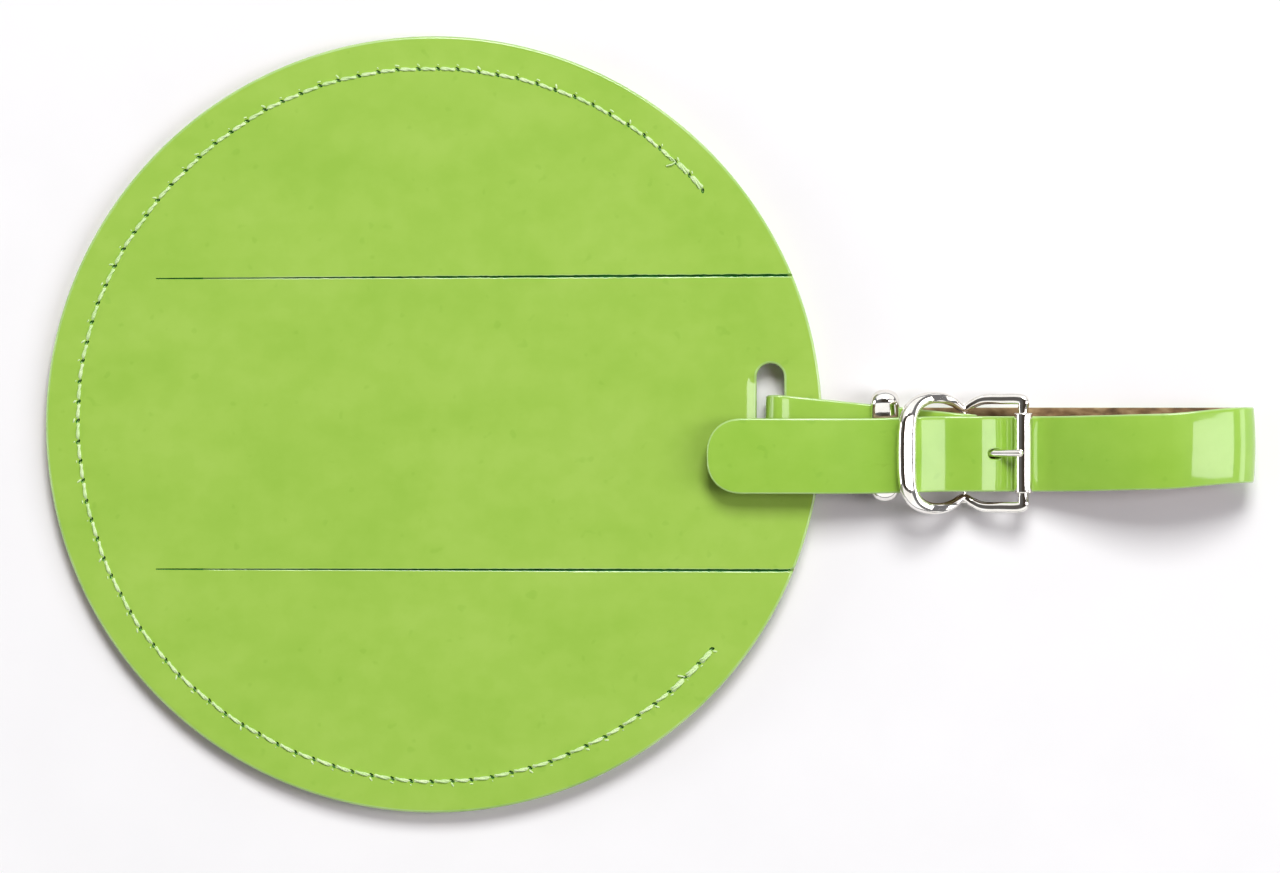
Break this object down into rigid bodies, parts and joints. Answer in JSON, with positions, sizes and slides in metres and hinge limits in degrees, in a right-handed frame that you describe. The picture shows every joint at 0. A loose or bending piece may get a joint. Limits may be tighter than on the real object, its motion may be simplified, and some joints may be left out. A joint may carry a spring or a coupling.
{
  "type": "luggage tag",
  "caption": "Round leather luggage tag with a folding privacy flap over a card pocket, hung on a short strap closed by a small roller buckle.",
  "frame": {"origin": "centre of the round tag, on the underside of its back panel", "axes": "+X from the tag towards the far end of the strap, +Y along the slot, +Z out of the face with the privacy flap; the tag leans 0.74 degrees because its rim lies on the strap"},
  "size_m": [0.1587, 0.102, 0.0106],
  "materials": {
    "patent_leather": "glossy lime-green patent face on a brown fibrous core",
    "nickel": "bright polished nickel plate",
    "thread": "pale lime polyester sewing thread",
    "card": "plain matt off-white card"
  },
  "bodies": {
    "tag": {"back_panel": "patent_leather", "front_panel": "patent_leather", "front_seam_thread": "thread", "back_seam_thread": "thread"},
    "flap": {"privacy_flap": "patent_leather"},
    "card": {"address_card": "card"},
    "strap_root": {"strap_slot_fold": "patent_leather"},
    "strap": {"strap_rear_leg": "patent_leather", "strap_end_fold": "patent_leather", "strap_front_leg": "patent_leather", "strap_buckle_run": "patent_leather", "strap_fixed_end": "patent_leather", "keeper_band": "nickel"},
    "tail": {"strap_tail": "patent_leather"},
    "buckle": {"buckle_frame": "nickel", "centre_bar": "nickel"},
    "prong_body": {"prong": "nickel"},
    "roller_body": {"roller": "nickel"}
  },
  "joints": [
    {"name": "flap_hinge", "type": "hinge", "parent": "tag", "child": "flap", "pos_m": [-0.03653, 0, 0.00193], "axis": [0, -1, 0], "range_deg": [0, 110], "stiffness_Nm_per_rad": 0.0004, "deforming": ["strap_slot_fold", "strap_tail"]},
    {"name": "card_slide", "type": "slide", "parent": "tag", "child": "card", "axis": [0.9999, 0, 0.013], "range_m": [-0.0015, 0.0025]},
    {"name": "strap_shift", "type": "slide", "parent": "tag", "child": "strap_root", "axis": [0, 1, 0], "range_m": [-0.0013, 0.0035]},
    {"name": "strap_swing", "type": "hinge", "parent": "strap_root", "child": "strap", "pos_m": [0.054, 0, 0.00167], "axis": [0, -1, 0], "range_deg": [-90, 6], "deforming": ["strap_slot_fold"]},
    {"name": "tail_flex", "type": "hinge", "parent": "strap", "child": "tail", "pos_m": [0.0603, -0.00402, 0.00614], "axis": [0, 1, 0], "range_deg": [0, 50], "stiffness_Nm_per_rad": 0.0002, "deforming": ["strap_tail"]},
    {"name": "buckle_pivot", "type": "hinge", "parent": "strap", "child": "buckle", "pos_m": [0.0696, -0.00375, 0.00239], "axis": [0, 1, 0], "range_deg": [-1.2, 0.7], "deforming": ["strap_buckle_run"]},
    {"name": "prong_pivot", "type": "hinge", "parent": "buckle", "child": "prong_body", "pos_m": [0.0696, -0.00375, 0.00239], "axis": [0, -1, 0], "range_deg": [0, 6]},
    {"name": "roller_spin", "type": "hinge", "parent": "buckle", "child": "roller_body", "pos_m": [0.0773, -0.00375, 0.00459], "axis": [0, 1, 0], "continuous": true}
  ]
}
